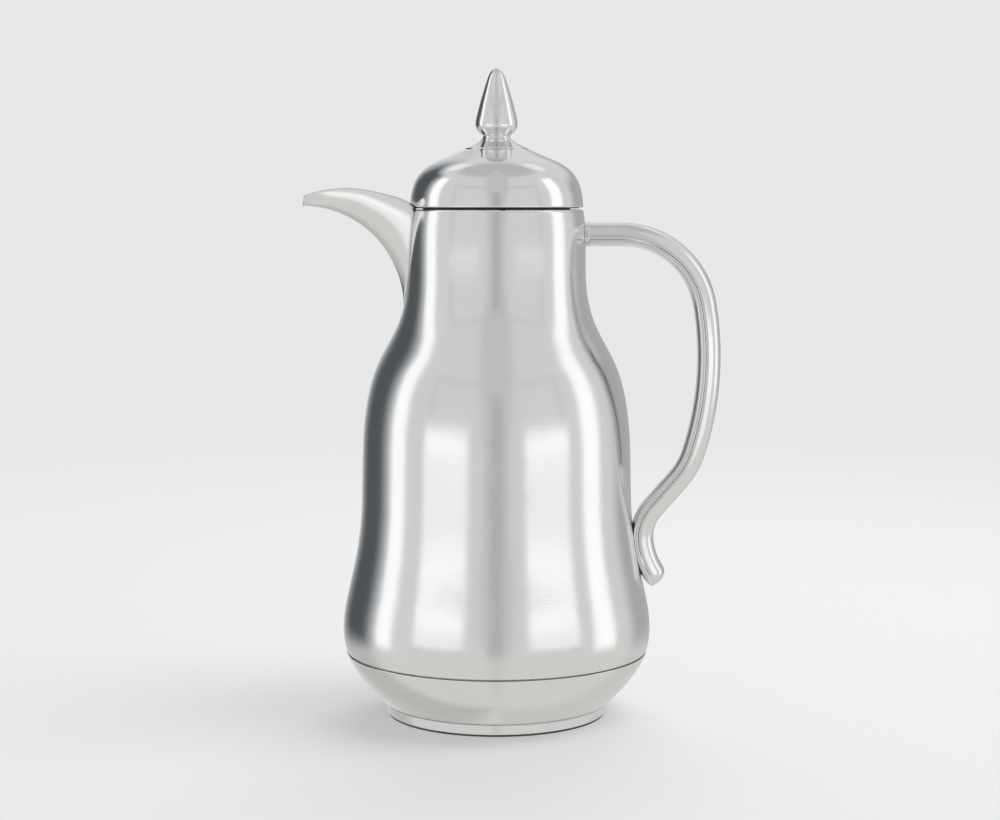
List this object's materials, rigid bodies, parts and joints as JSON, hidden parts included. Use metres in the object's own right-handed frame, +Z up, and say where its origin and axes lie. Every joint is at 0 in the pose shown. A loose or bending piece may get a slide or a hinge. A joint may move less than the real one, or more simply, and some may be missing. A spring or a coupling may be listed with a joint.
{
  "type": "coffee pot",
  "caption": "Insulated steel coffee pot with a pear-shaped body, beak spout, S-curved two-part handle and a domed lid with a turning sleeve stopper and a bud finial.",
  "frame": {"origin": "on the pot's axis, in the plane of the floor under the foot", "axes": "+Z up along the pot's axis, spout towards -X, handle towards +X, Y across the pot"},
  "size_m": [0.1936, 0.1436, 0.3],
  "materials": {
    "satin_steel": "satin, fine turned grain",
    "lid_steel": "satin, slightly brighter than the body",
    "polished_steel": "mirror polish",
    "plain_steel": "plain mill finish",
    "dark_rubber": "matt",
    "pale_silicone": "matt, slightly translucent",
    "dark_plastic": "moulded, fine matt",
    "pale_foam": "matt foam",
    "silvered_glass": "silvered inside the vacuum"
  },
  "bodies": {
    "pot": {"body_shell": "satin_steel", "base_cup": "satin_steel", "foot_ring": "dark_rubber", "base_gasket": "pale_silicone", "body_thread_ring": "dark_plastic", "base_insert": "dark_plastic", "liner_cushion": "pale_silicone", "liner_outer_glass": "silvered_glass", "liner_inner_glass": "silvered_glass", "collar_gasket": "pale_silicone", "neck_collar": "dark_plastic", "port_gasket": "pale_silicone", "spout": "polished_steel", "handle_outer": "polished_steel", "handle_inner": "polished_steel", "handle_ferrule": "polished_steel", "handle_anchors": "plain_steel", "handle_screws": "plain_steel", "handle_washers": "plain_steel"},
    "seals": {"sleeve_seals": "pale_silicone"},
    "lid": {"stopper_sleeve": "dark_plastic", "stopper_screws": "plain_steel", "lid_liner": "dark_plastic", "lid_insulation": "pale_foam", "lid_dome": "lid_steel", "finial_rosette": "polished_steel", "finial": "polished_steel", "finial_washer": "plain_steel", "finial_nut": "plain_steel"}
  },
  "joints": [
    {"name": "lid_lift", "type": "slide", "parent": "pot", "child": "seals", "axis": [0, 0, 1], "range_m": [0, 0.07]},
    {"name": "lid_turn", "type": "hinge", "parent": "seals", "child": "lid", "pos_m": [0, 0, 0.22], "axis": [0, 0, 1], "continuous": true}
  ]
}
